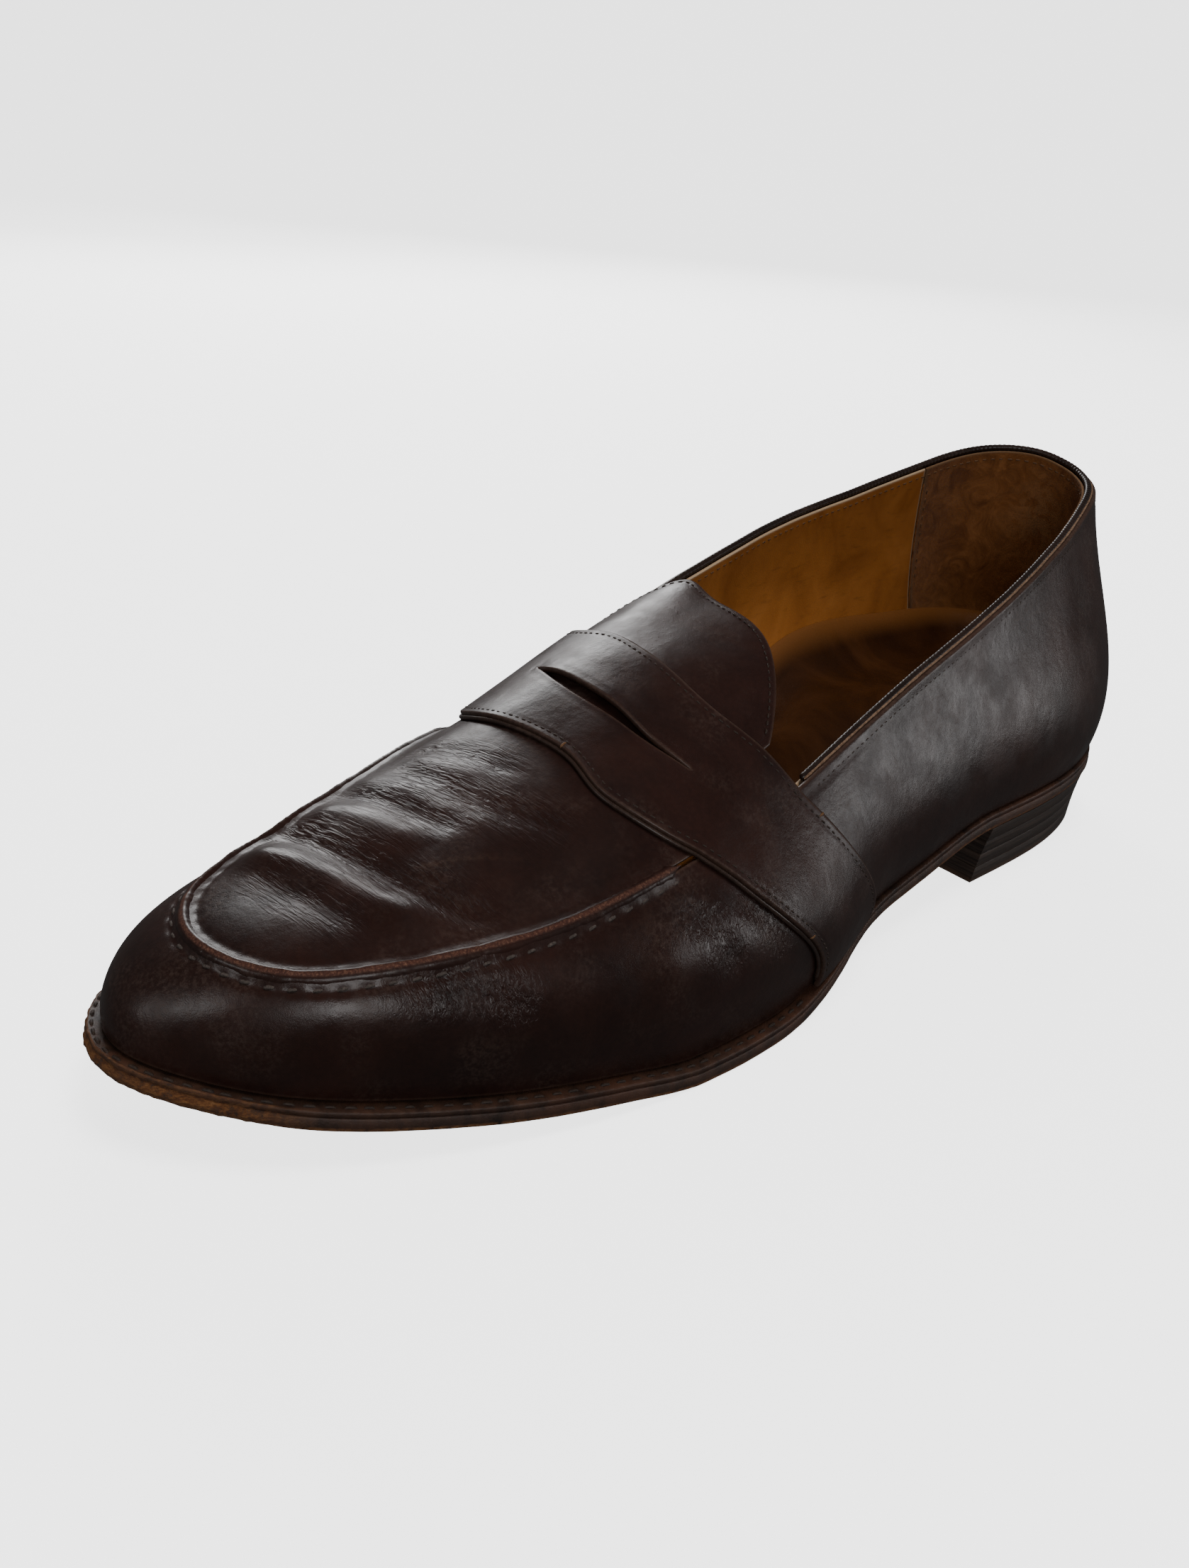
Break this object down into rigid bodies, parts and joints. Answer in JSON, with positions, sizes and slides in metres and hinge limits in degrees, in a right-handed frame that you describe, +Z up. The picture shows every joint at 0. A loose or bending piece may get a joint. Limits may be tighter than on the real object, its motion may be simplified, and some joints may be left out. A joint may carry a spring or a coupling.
{
  "type": "penny loafer",
  "caption": "Left slip-on shoe in dark waxed leather with a hand-sewn apron, a slotted saddle strap, a low stacked heel and a tongue flap that lifts.",
  "frame": {"origin": "on the floor under the middle of the bounding box", "axes": "+Z up, -Y towards the toe, +Y towards the heel, +X towards the outer side of the foot"},
  "size_m": [0.0968, 0.2972, 0.0914],
  "materials": {
    "waxed_calf": "waxed, soft shine",
    "tan_lining": "smooth matt",
    "brown_suede": "napped",
    "sock_leather": "worn",
    "sole_leather": "worn matt",
    "edge_leather": "dressed edge",
    "insole_leather": "raw",
    "cork": "raw granules",
    "spring_steel": "rolled",
    "heel_rubber": "matt",
    "stiffener_board": "pressed leatherboard",
    "waxed_thread": "waxed"
  },
  "bodies": {
    "shoe": {"outsole": "sole_leather", "welt": "edge_leather", "insole": "insole_leather", "sock_lining": "sock_leather", "heel_pad": "cork", "bottom_filler": "cork", "shank": "spring_steel", "heel_lift_1": "sole_leather", "heel_lift_2": "sole_leather", "heel_lift_3": "sole_leather", "top_piece": "heel_rubber", "heel_nail_1": "spring_steel", "heel_nail_2": "spring_steel", "heel_nail_3": "spring_steel", "heel_nail_4": "spring_steel", "heel_nail_5": "spring_steel", "quarter_lateral": "waxed_calf", "quarter_medial": "waxed_calf", "heel_tab": "waxed_calf", "mudguard": "waxed_calf", "apron": "waxed_calf", "lining_lateral": "tan_lining", "lining_medial": "tan_lining", "heel_grip": "brown_suede", "vamp_lining": "tan_lining", "heel_counter": "stiffener_board", "toe_puff": "stiffener_board", "saddle_strap": "waxed_calf", "topline_piping": "waxed_calf", "apron_seam_thread": "waxed_thread", "welt_stitch_thread": "waxed_thread"},
    "tongue": {"tongue": "waxed_calf", "tongue_lining": "tan_lining"}
  },
  "joints": [
    {"name": "tongue_lift", "type": "hinge", "parent": "shoe", "child": "tongue", "pos_m": [-0.00139, -0.0252, 0.0662], "axis": [1, 0, 0], "range_deg": [0, 20], "stiffness_Nm_per_rad": 0.4}
  ]
}
